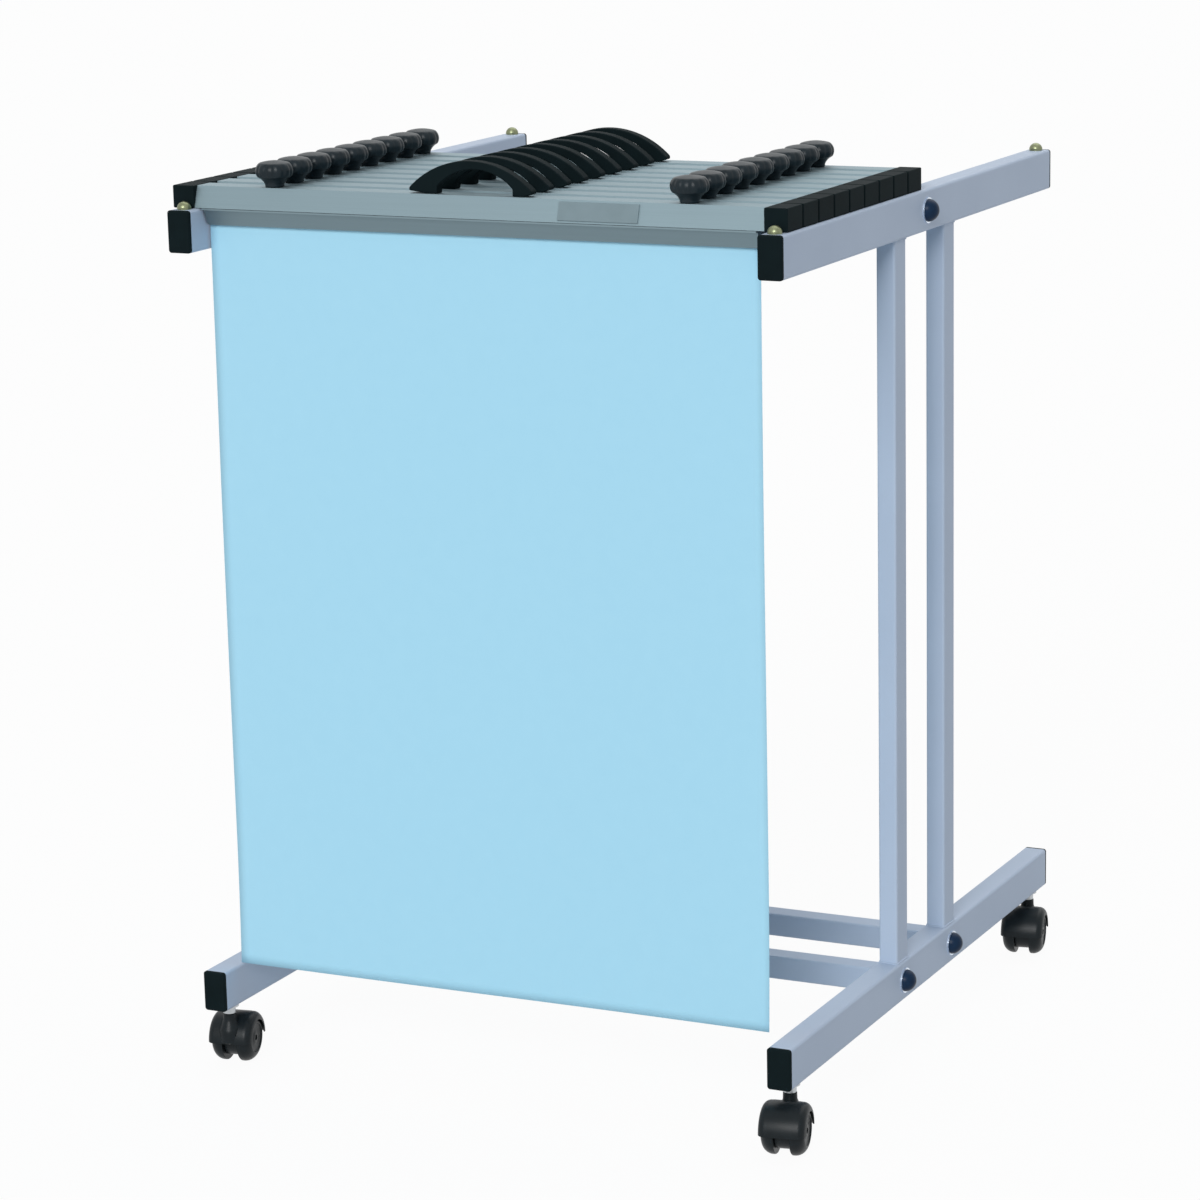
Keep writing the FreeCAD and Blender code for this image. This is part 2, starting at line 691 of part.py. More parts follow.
housing = castor_housing("housing")
wheel = castor_wheel()
axle = new_body("axle")
sketch = sketch_on(axle, "YZ_Plane")
circle(sketch, 0, 0, S["axle_size"])
pad(axle, sketch, S["castor_width"] - 2)


def wheel_set(name):
    """Two wheels on one axle, at the end of the trail."""
    pieces = []
    for source, turn in ((wheel, 0), (wheel, 180), (axle, 0)):
        piece = linked(source, name)
        piece.Placement.Rotation = turned(turn)
        move(piece, 0, S["castor_trail"], wheel_radius)
        pieces.append(piece)
    return pieces


stems = []
for name, side, end, trail in CASTORS:
    x = side * rail_middle
    y = end * (S["rail_length"] / 2 - S["castor_inset"])
    for source in (stem, nut):
        piece = linked(source, "stem_place")
        move(piece, x, y, 0)
        stems.append(piece)
    for group in (node(f"{name}_housing", [linked(housing, "housing_place")]),
                  node(f"{name}_wheels", wheel_set("wheel_place"))):
        group.Placement.Rotation = turned(trail)
        move(group, x, y, 0)
node("castor_stems", stems)

# ---------------------------------------------------------------- clamps
# Each clamp is drawn about its own middle: X along the clamp, Z = 0 at the top of the rails.

clamp_length = 2 * (rail_outside + S["clamp_overhang"])
block_depth = S["clamp_pitch"] - S["block_gap"]
block_height = S["bar_height"] + S["block_proud"]
block_inside = clamp_length / 2 - S["block_length"]
clamp_inset = S["stop_inset"] + S["stop_size"] / 2 + S["stop_clearance"] + block_depth / 2
first_clamp = clamp_inset - S["rail_length"] / 2
last_before = -(S["stretcher_size"] / 2 + S["jaw_back"] + S["stretcher_clearance"])
jaw_length = 2 * (rail_inside - S["jaw_end_gap"])
foot = (-S["bar_foot"], S["bar_lift"])
brow = (-S["bar_brow"], S["bar_height"])


def past_stretcher(place):
    """A clamp whose jaws would foul the top stretcher hangs two places further back."""
    beyond = place + 2 * S["clamp_pitch"]
    fouls = place.value > last_before.value + NEAR
    text = f"({place.text} > {last_before.text} + {NEAR} ? {beyond.text} : {place.text})"
    return Size(beyond.value if fouls else place.value, text)


def on_front(share, out=0):
    """A point of the sloped front face, its height as a share, and so far in front of it."""
    return (foot[0] + (brow[0] - foot[0]) * share - out, foot[1] + (brow[1] - foot[1]) * share)


def upper_extrusion():
    """The hollow upper extrusion with a sloped front and holes for the knob screws."""
    body = new_body("bar")
    wall = S["bar_wall"]
    sketch = sketch_on(body, "YZ_Plane")
    outline(sketch, [foot, (S["bar_back"], S["bar_lift"]), (S["bar_back"], S["bar_back_height"]),
                     (S["bar_back_top"], S["bar_height"]), brow])
    outline(sketch, [(foot[0] + 1.6 * wall, S["bar_lift"] + wall),
                     (S["bar_back"] - wall, S["bar_lift"] + wall),
                     (S["bar_back"] - wall, S["bar_back_height"] - wall / 2),
                     (S["bar_back_top"] - wall / 2, S["bar_height"] - wall),
                     (brow[0] + 0.8 * wall, S["bar_height"] - wall)])
    pad(body, sketch, 2 * block_inside)
    sketch = sketch_on(body, "XY_Plane", S["bar_height"])
    for side in (-1, 1):
        circle(sketch, side * S["knob_spacing"] / 2, 0, S["knob_screw"] + 2 * S["knob_hole_play"])
    pocket(body, sketch, 2 * wall, midplane=False)
    return body


def rear_jaw():
    """The fixed jaw strip under the bar, behind the sheet."""
    body = new_body("rear_jaw")
    face = S["sheet_thickness"] / 2 - S["jaw_face"]
    sketch = sketch_on(body, "YZ_Plane")
    outline(sketch, [(face, -S["jaw_depth"]), (face + S["jaw_lip"], -S["jaw_depth"]),
                     (S["jaw_back"], -S["jaw_ledge"]), (S["jaw_back"], S["bar_lift"]),
                     (face, S["bar_lift"])])
    pad(body, sketch, jaw_length)
    return body


def front_jaw():
    """The front jaw strip with its ledge, in front of the sheet."""
    body = new_body("front_jaw")
    face = -S["jaw_face"] - S["sheet_thickness"] / 2 - S["jaw_clearance"]
    top = S["bar_lift"] - S["jaw_slack"]
    under = top - S["jaw_ledge"]
    sketch = sketch_on(body, "YZ_Plane")
    outline(sketch, [(face, -S["jaw_depth"]), (face, top), (-S["jaw_ledge_reach"], top),
                     (-S["jaw_ledge_reach"], under), (-S["jaw_shoulder"], under),
                     (face - S["jaw_lip"], -S["jaw_depth"])])
    pad(body, sketch, jaw_length)
    return body


def end_block():
    """The right-hand end block, which rests on the rail, with its spigot inside the bar."""
    body = new_body("end_block")
    depth = block_depth
    sketch = sketch_on(body, "YZ_Plane", block_inside)
    rectangle(sketch, -depth / 2, depth / 2, 0, block_height)
    pad(body, sketch, S["block_length"], midplane=False)
    outer = clamp_length / 2
    soften(body, S["block_bevel"],
           lambda edge: is_at(edge, 0, outer) or (runs_along(edge, 0) and is_at(edge, 2, block_height)),
           "Chamfer")
    wall = S["bar_wall"]
    low = S["bar_lift"] + wall + S["bolt_hole_play"]
    high = S["bar_height"] - wall - S["bolt_hole_play"]
    sketch = sketch_on(body, "YZ_Plane", block_inside)
    outline(sketch, [(foot[0] + 4 * wall, low), (S["bar_back"] - 2 * wall, low),
                     (S["bar_back"] - 2 * wall, S["bar_back_height"] - 2 * wall),
                     (S["bar_back_top"] - 2 * wall, high), (brow[0] + 2 * wall, high)])
    pad(body, sketch, S["spigot_length"], midplane=False, reverse=True)
    return body


def handle():
    """An arched grip with flared tips on two feet."""
    body = new_body("handle")
    base = S["bar_height"]
    tip = S["handle_length"] / 2
    outer_foot = S["handle_feet"] / 2 + S["handle_foot"] / 2
    inner_foot = S["handle_feet"] / 2 - S["handle_foot"] / 2
    tip_low = base + S["handle_tip"]
    tip_high = tip_low + S["handle_tip_height"]
    sketch = sketch_on(body, "XZ_Plane")
    outline(sketch,
            [(-tip, tip_low), (-outer_foot, tip_low), (-outer_foot, base), (-inner_foot, base),
             (inner_foot, base), (outer_foot, base), (outer_foot, tip_low), (tip, tip_low),
             (tip, tip_high), (-tip, tip_high)],
            {3: (0, base + S["handle_reach"]), 8: (0, base + S["handle_rise"])})
    pad(body, sketch, S["handle_depth"])
    crown = base + S["handle_rise"] * 0.8
    soften(body, S["handle_bevel"],
           lambda edge: edge.Curve.TypeId == "Part::GeomCircle" and edge.BoundBox.ZMax > crown.value,
           "Chamfer")
    return body


def knob():
    """A mushroom knob on its screw, drawn about its own axis above the top of the bar."""
    body = new_body("knob")
    neck = S["knob_neck"] / 2
    rim = (S["clamp_pitch"] - S["knob_side_gap"]) / 2
    foot_z = S["knob_gap"]
    under = S["knob_neck_height"]
    sketch = sketch_on(body, "XZ_Plane")
    screw = S["knob_screw"] / 2
    outline(sketch,
            [(0, -S["knob_screw_length"]), (screw, -S["knob_screw_length"]), (screw, foot_z),
             (neck, foot_z), (neck, under), (rim, under + S["knob_skirt"]),
             (rim, S["knob_height"] - S["knob_rounding"]), (0, S["knob_height"])], crowns=(6,))
    revolve(body, sketch)
    return body


bar = upper_extrusion()
fixed_jaw = rear_jaw()
moving_jaw = front_jaw()
block = end_block()
left_block = doc.addObject("Part::Mirroring", "left_block")
left_block.Source = block
left_block.Base = FreeCAD.Vector(0, 0, 0)
left_block.Normal = FreeCAD.Vector(1, 0, 0)
grip = handle()
mushroom = knob()
for number in range(CLAMP_COUNT):
    name = f"clamp_{number + 1:02d}"
    x = S["clamp_shift"]
    y = past_stretcher(first_clamp + number * S["clamp_pitch"])
    z = S["rack_height"]
    strips = [bar, fixed_jaw] if number == 0 else [bar, fixed_jaw, moving_jaw]
    fittings = [linked(item, "fitting") for item in (grip, block, left_block)]
    pieces = [node(f"{name}_bar", [linked(item, "strip") for item in strips]),
              node(f"{name}_fittings", fittings)]
    if number == 0:
        pieces.append(node(f"{name}_jaw", [linked(moving_jaw, "jaw")]))
    for piece in pieces:
        move(piece, x, y, z)
    for side, word in ((-1, "left"), (1, "right")):
        piece = node(f"{name}_knob_{word}", [linked(mushroom, "knob_place")])
        move(piece, x + side * S["knob_spacing"] / 2, y, z + S["bar_height"])

# The label holder lies on the sloped front of the first clamp.
label = new_body("clamp_01_label_holder")
slope_height = S["bar_height"] - S["bar_lift"]
top_share = 1 - S["label_drop"] / slope_height
low_share = S["label_foot"] / slope_height
sketch = sketch_on(label, "YZ_Plane", S["label_start"])
outline(sketch, [on_front(low_share), on_front(top_share),
                 on_front(top_share, S["label_thickness"]), on_front(low_share, S["label_thickness"])])
pad(label, sketch, S["label_length"], midplane=False)
move(label, S["clamp_shift"], first_clamp, S["rack_height"])
node("clamp_01_label_holder", [label])

# One sheet hangs from the first clamp, gripped along its top edge.
hanging = new_body("hanging_sheet")
sheet_top = S["sheet_grip"] - S["jaw_depth"]
sheet_foot = -S["jaw_depth"] - S["sheet_drop"]
sketch = sketch_on(hanging, "YZ_Plane")
rectangle(sketch, -S["jaw_face"] - S["sheet_thickness"] / 2, -S["jaw_face"] + S["sheet_thickness"] / 2,
          sheet_foot, sheet_top)
pad(hanging, sketch, S["sheet_width"])
move(hanging, S["clamp_shift"] + S["sheet_shift"], first_clamp, S["rack_height"])
node("hanging_sheet", [hanging])

# ---------------------------------------------------------------- checks and export

doc.recompute()
for item in doc.Objects:
    if any(word in ("Invalid", "Error") for word in item.State):
        raise RuntimeError(f"{item.Label} failed: {item.State}")

os.makedirs("parts", exist_ok=True)
for part in nodes:
    shape = part.Shape
    if shape.isNull() or not shape.isValid():
        raise RuntimeError(f"{part.Label} has no valid shape")
for part in nodes:
    part.Shape.exportStep(f"parts/{part.Label}.step")
print(len(nodes), "sub-parts written")
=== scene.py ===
import math

import bmesh
import bpy
from mathutils import Matrix, Vector


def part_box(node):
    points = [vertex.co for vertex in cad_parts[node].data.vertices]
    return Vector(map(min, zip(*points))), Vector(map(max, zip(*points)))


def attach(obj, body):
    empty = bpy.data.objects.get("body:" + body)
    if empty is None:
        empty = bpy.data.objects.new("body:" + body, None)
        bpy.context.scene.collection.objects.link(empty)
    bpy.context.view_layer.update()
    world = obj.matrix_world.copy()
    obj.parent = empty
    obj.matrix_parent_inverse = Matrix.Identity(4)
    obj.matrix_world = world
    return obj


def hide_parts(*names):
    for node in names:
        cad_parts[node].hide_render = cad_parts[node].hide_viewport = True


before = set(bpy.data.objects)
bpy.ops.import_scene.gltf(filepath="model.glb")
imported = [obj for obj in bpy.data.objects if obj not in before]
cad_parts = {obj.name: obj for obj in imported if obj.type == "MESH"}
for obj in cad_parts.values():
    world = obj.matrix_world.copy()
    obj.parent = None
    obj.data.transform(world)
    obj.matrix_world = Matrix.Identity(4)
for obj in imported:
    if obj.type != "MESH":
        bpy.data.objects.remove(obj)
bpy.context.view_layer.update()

# ---------------------------------------------------------------- the studio
# A pale seamless floor in even light, with one soft lamp in front and a softer one above and
# behind. The camera stands off the right-hand front corner of the rack, above its rails.

scene = bpy.context.scene
scene.view_settings.view_transform = "Standard"


def srgb(code):
    """A hex colour as the linear red, green, blue and alpha that the shaders take."""
    parts = [int(code[start:start + 2], 16) / 255 for start in (1, 3, 5)]
    return (*[part / 12.92 if part <= 0.04045 else ((part + 0.055) / 1.055) ** 2.4 for part in parts], 1)


def add_node(tree, kind, inputs, **settings):
    """A node with its settings; an input that is given a socket is linked to it."""
    node = tree.nodes.new(kind)
    for name, value in settings.items():
        setattr(node, name, value)
    for name, value in inputs.items():
        if isinstance(value, bpy.types.NodeSocket):
            tree.links.new(value, node.inputs[name])
        else:
            node.inputs[name].default_value = value
    return node


def new_material(name):
    """An empty node material and its tree."""
    material = bpy.data.materials.new(name)
    material.use_nodes = True
    material.node_tree.nodes.clear()
    return material, material.node_tree


camera_data = bpy.data.cameras.new("camera")
camera_data.sensor_width = 36
camera_data.lens = 117.2
camera_data.shift_x = -0.025
camera_data.shift_y = 0.0625
camera_data.clip_end = 100
camera = bpy.data.objects.new("camera", camera_data)
scene.collection.objects.link(camera)
scene.camera = camera
around, above, tilt = math.radians(25.585), math.radians(13.887), math.radians(-1.156)
look = Vector((-math.sin(around) * math.cos(above), math.cos(around) * math.cos(above), -math.sin(above)))
level = Vector((math.cos(around), math.sin(around), 0))
upright = level.cross(look)
right = level * math.cos(tilt) + upright * math.sin(tilt)
up = upright * math.cos(tilt) - level * math.sin(tilt)
camera.matrix_world = Matrix.Translation((1.7339, -3.6428, 1.3650)) @ Matrix((right, up, -look)).transposed().to_4x4()

world = bpy.data.worlds.new("studio_white")
world.use_nodes = True
scene.world = world
tree = world.node_tree
tree.nodes.clear()
ray = add_node(tree, "ShaderNodeLightPath", {})
seen = add_node(tree, "ShaderNodeMath", {0: ray.outputs["Is Camera Ray"], 1: ray.outputs["Is Glossy Ray"]},
                operation="MAXIMUM")
seen = add_node(tree, "ShaderNodeMath", {0: seen.outputs[0], 1: ray.outputs["Is Transmission Ray"]},
                operation="MAXIMUM")
even = add_node(tree, "ShaderNodeBackground", {"Color": srgb("#F6F9FC"), "Strength": 0.40})
backdrop = add_node(tree, "ShaderNodeBackground", {"Color": srgb("#FFFFFF"), "Strength": 1.0})
mixed = add_node(tree, "ShaderNodeMixShader", {0: seen.outputs[0], 1: even.outputs[0], 2: backdrop.outputs[0]})
add_node(tree, "ShaderNodeOutputWorld", {"Surface": mixed.outputs[0]})

for name, direction, strength, softness in (("front_light", (-0.14, 0.86, -0.46), 1.90, 26),
                                            ("top_light", (0.05, -0.50, -0.86), 0.90, 60)):
    lamp = bpy.data.lights.new(name, "SUN")
    lamp.energy = strength
    lamp.angle = math.radians(softness)
    lamp_object = bpy.data.objects.new(name, lamp)
    lamp_object.rotation_mode = "QUATERNION"
    lamp_object.rotation_quaternion = Vector(direction).to_track_quat("-Z", "Y")
    scene.collection.objects.link(lamp_object)

# The floor is a matt pale grey. What the camera and the reflections see of it is lifted to the
# white of the backdrop, and it keeps the soft shadow of the rack. It lies just under the wheels.
half_floor, floor_drop = 45, 0.0003
shape = bmesh.new()
bmesh.ops.create_grid(shape, x_segments=1, y_segments=1, size=half_floor)
floor_mesh = bpy.data.meshes.new("floor")
shape.to_mesh(floor_mesh)
shape.free()
floor = bpy.data.objects.new("floor", floor_mesh)
scene.collection.objects.link(floor)
floor.location = (0, 0, -floor_drop)
floor_grey, tree = new_material("matt_grey_floor")
ray = add_node(tree, "ShaderNodeLightPath", {})
seen = add_node(tree, "ShaderNodeMath", {0: ray.outputs["Is Camera Ray"], 1: ray.outputs["Is Glossy Ray"]},
                operation="MAXIMUM")
seen = add_node(tree, "ShaderNodeMath", {0: seen.outputs[0], 1: ray.outputs["Is Transmission Ray"]},
                operation="MAXIMUM")
speckle = add_node(tree, "ShaderNodeTexNoise", {"Scale": 14.0, "Detail": 2.0})
tone = add_node(tree, "ShaderNodeMix", {0: speckle.outputs[0], 6: srgb("#D3D5D7"), 7: srgb("#D9DBDC")},
                data_type="RGBA")
matt = add_node(tree, "ShaderNodeBsdfDiffuse", {"Color": tone.outputs[2]})
lift = add_node(tree, "ShaderNodeEmission", {"Color": srgb("#FFFFFF"), "Strength": 1.0})
lifted = add_node(tree, "ShaderNodeMixShader", {0: 0.95, 1: matt.outputs[0], 2: lift.outputs[0]})
mixed = add_node(tree, "ShaderNodeMixShader", {0: seen.outputs[0], 1: matt.outputs[0], 2: lifted.outputs[0]})
add_node(tree, "ShaderNodeOutputMaterial", {"Surface": mixed.outputs[0]})
floor_mesh.materials.append(floor_grey)

# ---------------------------------------------------------------- the welded frame
# Rails, posts and stretchers are drawn steel tube, welded or bolted into a trolley and then
# powder coated in one light blue-grey.


def give(material, *names):
    """Finish a CAD piece with a material."""
    for name in names:
        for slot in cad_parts[name].material_slots:
            slot.material = material


# Polyester powder coat, semi-gloss: it flows out to a faint orange peel, some 2 mm from crest
# to crest, and its thickness varies, so the tone drifts a little along each tube. Along the
# top faces of the upper rails it is painted paler in short streaks: partly wear where the end
# blocks of the clamps rub, partly a painted highlight on the tops of the rails.
powder_coat, tree = new_material("powder_coated_steel")
place = add_node(tree, "ShaderNodeTexCoord", {})
drift = add_node(tree, "ShaderNodeTexNoise", {"Vector": place.outputs["Object"], "Scale": 9.0, "Detail": 3.0})
tone = add_node(tree, "ShaderNodeMix", {0: drift.outputs[0], 6: srgb("#ACBACE"), 7: srgb("#B6C4D7")},
                data_type="RGBA")
height = add_node(tree, "ShaderNodeSeparateXYZ", {0: place.outputs["Object"]})
rail_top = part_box("top_rail_right")[1].z
near_top = add_node(tree, "ShaderNodeMapRange",
                    {0: height.outputs[2], 1: rail_top - 0.0008, 2: rail_top - 0.0001})
along = add_node(tree, "ShaderNodeMapping", {"Vector": place.outputs["Object"], "Scale": (900.0, 45.0, 900.0)})
streak = add_node(tree, "ShaderNodeTexNoise", {"Vector": along.outputs[0], "Scale": 1.0, "Detail": 3.0})
# The paler tone on the rail tops is partly rubbing wear and partly a painted highlight.
rubbed_and_highlit = add_node(tree, "ShaderNodeMapRange", {0: streak.outputs[0], 1: 0.52, 2: 0.70, 3: 0.0, 4: 0.5})
rubbed_and_highlit = add_node(tree, "ShaderNodeMath", {0: rubbed_and_highlit.outputs[0], 1: near_top.outputs[0]}, operation="MULTIPLY")
tone = add_node(tree, "ShaderNodeMix", {0: rubbed_and_highlit.outputs[0], 6: tone.outputs[2], 7: srgb("#CBD7EA")},
                data_type="RGBA")
peel = add_node(tree, "ShaderNodeTexNoise", {"Vector": place.outputs["Object"], "Scale": 480.0, "Detail": 2.0})
gloss = add_node(tree, "ShaderNodeMapRange", {0: peel.outputs[0], 3: 0.38, 4: 0.50})
skin = add_node(tree, "ShaderNodeBump", {"Height": peel.outputs[0], "Strength": 0.12, "Distance": 0.0002})
paint = add_node(tree, "ShaderNodeBsdfPrincipled",
                 {"Base Color": tone.outputs[2], "Roughness": gloss.outputs[0], "Normal": skin.outputs[0],
                  "IOR": 1.5, "Specular IOR Level": 0.12})
add_node(tree, "ShaderNodeOutputMaterial", {"Surface": paint.outputs[0]})
give(powder_coat, "top_rail_left", "top_rail_right", "base_rail_left", "base_rail_right", "posts", "stretchers")


def new_tree(name, inputs):
    """An empty node tree with named inputs, and its group input node."""
    tree = bpy.data.node_groups.new(name, "GeometryNodeTree")
    tree.interface.new_socket("Geometry", in_out="INPUT", socket_type="NodeSocketGeometry")
    for label, kind in inputs:
        tree.interface.new_socket(label, in_out="INPUT", socket_type=kind)
    tree.interface.new_socket("Geometry", in_out="OUTPUT", socket_type="NodeSocketGeometry")
    return tree, tree.nodes.new("NodeGroupInput")


def end_tree(tree, geometry, finish):
    """Smooth the faces, realize the instances, set the finish and pass it all on."""
    smooth = add_node(tree, "GeometryNodeSetShadeSmooth", {"Geometry": geometry})
    real = add_node(tree, "GeometryNodeRealizeInstances", {"Geometry": smooth.outputs[0]})
    set_finish = add_node(tree, "GeometryNodeSetMaterial", {"Geometry": real.outputs[0], "Material": finish})
    add_node(tree, "NodeGroupOutput", {"Geometry": set_finish.outputs[0]})


def grow(name, tree, start_mesh, values):
    """Run a tree on a mesh with its inputs set, and keep the result as a plain mesh object."""
    seed = bpy.data.objects.new(name + "_seed", start_mesh)
    scene.collection.objects.link(seed)
    modifier = seed.modifiers.new("tree", "NODES")
    modifier.node_group = tree
    for item in tree.interface.items_tree:
        if item.in_out == "INPUT" and item.name in values:
            modifier[item.identifier] = values[item.name]
    grown = bpy.data.meshes.new_from_object(seed.evaluated_get(bpy.context.evaluated_depsgraph_get()))
    bpy.data.objects.remove(seed)
    grown.name = name
    piece = bpy.data.objects.new(name, grown)
    scene.collection.objects.link(piece)
    return piece


# A bead of weld runs round each end of the four posts, under the paint: overlapping ripples,
# 1.2 mm apart, left by a wire welder.
bead, start = new_tree("weld_bead", [("Ripple Spacing", "NodeSocketFloat"), ("Ripple Radius", "NodeSocketFloat"),
                                     ("Finish", "NodeSocketMaterial")])
run = add_node(bead, "GeometryNodeMeshToCurve", {"Mesh": start.outputs["Geometry"]})
spots = add_node(bead, "GeometryNodeCurveToPoints", {"Curve": run.outputs[0],
                                                     "Length": start.outputs["Ripple Spacing"]}, mode="LENGTH")
ripple = add_node(bead, "GeometryNodeMeshUVSphere", {"Segments": 8, "Rings": 5,
                                                     "Radius": start.outputs["Ripple Radius"]})
swell = add_node(bead, "FunctionNodeRandomValue", {2: 0.88, 3: 1.12, "Seed": 7}, data_type="FLOAT")
ripples = add_node(bead, "GeometryNodeInstanceOnPoints", {"Points": spots.outputs[0], "Instance": ripple.outputs[0],
                                                          "Rotation": spots.outputs["Rotation"],
                                                          "Scale": swell.outputs[1]})
end_tree(bead, ripples.outputs[0], start.outputs["Finish"])
posts_low, posts_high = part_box("posts")
post_width, post_depth, post_corner = 0.020, 0.030, 0.0025
bead_sunk, corner_steps = 0.0002, 4
shape = bmesh.new()
for side in (-1, 1):
    for end in (-1, 1):
        middle = Vector((side * (posts_high.x - post_width / 2), end * (posts_high.y - post_depth / 2), 0))
        for z in (posts_low.z + bead_sunk, posts_high.z - bead_sunk):
            ring = []
            for corner, (across, deep) in enumerate(((1, 1), (-1, 1), (-1, -1), (1, -1))):
                for step in range(corner_steps + 1):
                    turn = math.radians(90 * (corner + step / corner_steps))
                    ring.append(shape.verts.new(middle + Vector((
                        across * (post_width / 2 - post_corner) + post_corner * math.cos(turn),
                        deep * (post_depth / 2 - post_corner) + post_corner * math.sin(turn), z))))
            for first, second in zip(ring, ring[1:] + ring[:1]):
                shape.edges.new((first, second))
runs = bpy.data.meshes.new("weld_runs")
shape.to_mesh(runs)
shape.free()
welds = grow("post_welds", bead, runs, {"Ripple Spacing": 0.0012, "Ripple Radius": 0.0013, "Finish": powder_coat})
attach(welds, "frame")

# ---------------------------------------------------------------- bolts, caps and stops
# Zinc-plated bolts draw the side frames onto the stretchers. Each head sits on a bright
# washer under a black domed cap, whose blue tint is a painted reflection of the rails. Black
# push-in caps close the hollow rail ends, and a stud near each end of the upper rails stops the clamps.

# Zinc plate, passivated: soft grey metal with a cloudy bloom a few millimetres across.
zinc, tree = new_material("zinc_plated_steel")
place = add_node(tree, "ShaderNodeTexCoord", {})
bloom = add_node(tree, "ShaderNodeTexNoise", {"Vector": place.outputs["Object"], "Scale": 260.0, "Detail": 4.0})
tone = add_node(tree, "ShaderNodeMix", {0: bloom.outputs[0], 6: srgb("#A9AEB2"), 7: srgb("#C6CACD")},
                data_type="RGBA")
gloss = add_node(tree, "ShaderNodeMapRange", {0: bloom.outputs[0], 3: 0.30, 4: 0.42})
metal = add_node(tree, "ShaderNodeBsdfPrincipled",
                 {"Base Color": tone.outputs[2], "Metallic": 1.0, "Roughness": gloss.outputs[0]})
add_node(tree, "ShaderNodeOutputMaterial", {"Surface": metal.outputs[0]})
give(zinc, "stretcher_inserts", "frame_bolts", "castor_stems")

# Blue-passivated zinc on the washers: a bright, cold metal with fine marks, drawn 1 mm apart.
bright_zinc, tree = new_material("blue_passivated_zinc")
place = add_node(tree, "ShaderNodeTexCoord", {})
marks = add_node(tree, "ShaderNodeTexNoise", {"Vector": place.outputs["Object"], "Scale": 900.0, "Detail": 2.0})
tone = add_node(tree, "ShaderNodeMix", {0: marks.outputs[0], 6: srgb("#D2DEEC"), 7: srgb("#E6EEF8")},
                data_type="RGBA")
gloss = add_node(tree, "ShaderNodeMapRange", {0: marks.outputs[0], 3: 0.22, 4: 0.34})
metal = add_node(tree, "ShaderNodeBsdfPrincipled",
                 {"Base Color": tone.outputs[2], "Metallic": 1.0, "Roughness": gloss.outputs[0]})
add_node(tree, "ShaderNodeOutputMaterial", {"Surface": metal.outputs[0]})
give(bright_zinc, "frame_washers")

# Yellow-passivated zinc on the stop studs: an olive metal, cloudy where the dip ran off.
yellow_zinc, tree = new_material("yellow_passivated_zinc")
place = add_node(tree, "ShaderNodeTexCoord", {})
cloud = add_node(tree, "ShaderNodeTexNoise", {"Vector": place.outputs["Object"], "Scale": 300.0, "Detail": 3.0})
tone = add_node(tree, "ShaderNodeMix", {0: cloud.outputs[0], 6: srgb("#6C7058"), 7: srgb("#8F9676")},
                data_type="RGBA")
gloss = add_node(tree, "ShaderNodeMapRange", {0: cloud.outputs[0], 3: 0.30, 4: 0.46})
metal = add_node(tree, "ShaderNodeBsdfPrincipled",
                 {"Base Color": tone.outputs[2], "Metallic": 1.0, "Roughness": gloss.outputs[0]})
add_node(tree, "ShaderNodeOutputMaterial", {"Surface": metal.outputs[0]})
give(yellow_zinc, "clamp_stops")

# Moulded polypropylene with a spark-eroded grain. The real grain is about 0.2 mm; it is drawn
# at 0.8 mm, the finest that shows.
black_plastic, tree = new_material("grained_black_plastic")
place = add_node(tree, "ShaderNodeTexCoord", {})
grain = add_node(tree, "ShaderNodeTexNoise", {"Vector": place.outputs["Object"], "Scale": 1250.0, "Detail": 2.0})
drift = add_node(tree, "ShaderNodeTexNoise", {"Vector": place.outputs["Object"], "Scale": 40.0, "Detail": 2.0})
tone = add_node(tree, "ShaderNodeMix", {0: drift.outputs[0], 6: srgb("#0C1517"), 7: srgb("#131F22")},
                data_type="RGBA")
gloss = add_node(tree, "ShaderNodeMapRange", {0: grain.outputs[0], 3: 0.56, 4: 0.74})
skin = add_node(tree, "ShaderNodeBump", {"Height": grain.outputs[0], "Strength": 0.25, "Distance": 0.0001})
plastic = add_node(tree, "ShaderNodeBsdfPrincipled",
                   {"Base Color": tone.outputs[2], "Roughness": gloss.outputs[0], "Normal": skin.outputs[0],
                    "IOR": 1.49, "Specular IOR Level": 0.04})
add_node(tree, "ShaderNodeOutputMaterial", {"Surface": plastic.outputs[0]})
give(black_plastic, "rail_end_caps")

# The bolt caps are softer black polyethylene with a waxy gloss; the blue in their colour is a painted reflection of
# the blue-grey rails.
black_with_painted_blue, tree = new_material("black_polyethylene_painted_blue_reflection")
place = add_node(tree, "ShaderNodeTexCoord", {})
cloud = add_node(tree, "ShaderNodeTexNoise", {"Vector": place.outputs["Object"], "Scale": 350.0, "Detail": 2.0})
tone = add_node(tree, "ShaderNodeMix", {0: cloud.outputs[0], 6: srgb("#0E2036"), 7: srgb("#152E48")},
                data_type="RGBA")
gloss = add_node(tree, "ShaderNodeMapRange", {0: cloud.outputs[0], 3: 0.28, 4: 0.38})
plastic = add_node(tree, "ShaderNodeBsdfPrincipled",
                   {"Base Color": tone.outputs[2], "Roughness": gloss.outputs[0], "IOR": 1.51,
                    "Specular IOR Level": 0.10})
add_node(tree, "ShaderNodeOutputMaterial", {"Surface": plastic.outputs[0]})
give(black_with_painted_blue, "bolt_caps")

# ---------------------------------------------------------------- the castors
# Four hooded twin-wheel castors, their housings and wheels injection moulded in black nylon.
# They stand as they were last pushed: the left pair trails to the back, the right pair to the front.

